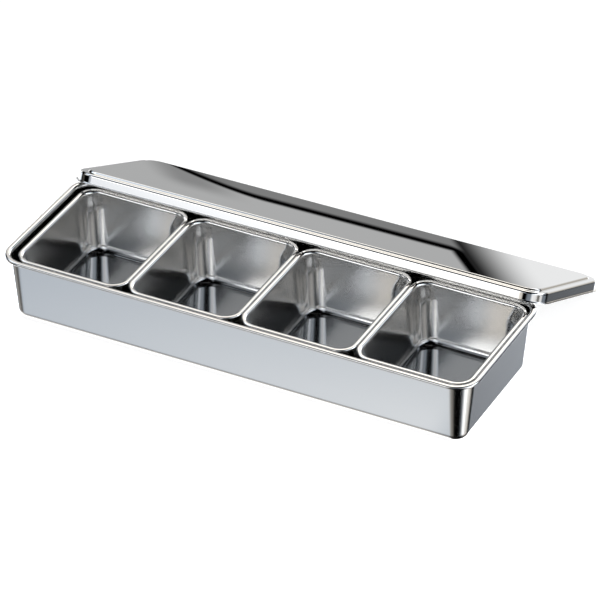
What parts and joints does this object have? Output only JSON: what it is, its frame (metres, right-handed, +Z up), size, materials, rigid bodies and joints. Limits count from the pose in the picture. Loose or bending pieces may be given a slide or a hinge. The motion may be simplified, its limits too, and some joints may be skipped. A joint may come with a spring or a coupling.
{
  "type": "condiment pan set",
  "caption": "Long stainless tray holding a row of lift-out rectangular pans, with a shallow pressed cover leaning behind it on the tray's rear rim.",
  "frame": {"origin": "middle of the tray's flat underside, on the table", "axes": "+X along the row of pans, +Y to the rear where the cover leans, +Z up"},
  "size_m": [0.3251, 0.2012, 0.053],
  "materials": {
    "tray_steel": "satin stainless sheet with a fine grain along the length, bright rim",
    "pan_steel": "smooth drawn stainless sheet, satin walls and a bright floor and rim",
    "cover_steel": "bright rolled stainless sheet, nearly a mirror"
  },
  "bodies": {
    "tray": {"tray": "tray_steel"},
    "pan_1": {"pan_1": "pan_steel"},
    "pan_2": {"pan_2": "pan_steel"},
    "pan_3": {"pan_3": "pan_steel"},
    "pan_4": {"pan_4": "pan_steel"},
    "cover": {"cover": "cover_steel"}
  },
  "joints": [
    {"name": "cover_lift", "type": "slide", "parent": "tray", "child": "cover", "axis": [0, 0, 1], "range_m": [0, 0.15]},
    {"name": "pan_1_lift", "type": "slide", "parent": "tray", "child": "pan_1", "axis": [0, 0, 1], "range_m": [0, 0.06]},
    {"name": "pan_2_lift", "type": "slide", "parent": "tray", "child": "pan_2", "axis": [0, 0, 1], "range_m": [0, 0.06]},
    {"name": "pan_3_lift", "type": "slide", "parent": "tray", "child": "pan_3", "axis": [0, 0, 1], "range_m": [0, 0.06]},
    {"name": "pan_4_lift", "type": "slide", "parent": "tray", "child": "pan_4", "axis": [0, 0, 1], "range_m": [0, 0.06]}
  ],
  "couplings": [
    {"joint": "pan_1_lift", "follows": "cover_lift", "ratio": 0.4},
    {"joint": "pan_2_lift", "follows": "cover_lift", "ratio": 0.4},
    {"joint": "pan_3_lift", "follows": "cover_lift", "ratio": 0.4},
    {"joint": "pan_4_lift", "follows": "cover_lift", "ratio": 0.4}
  ]
}
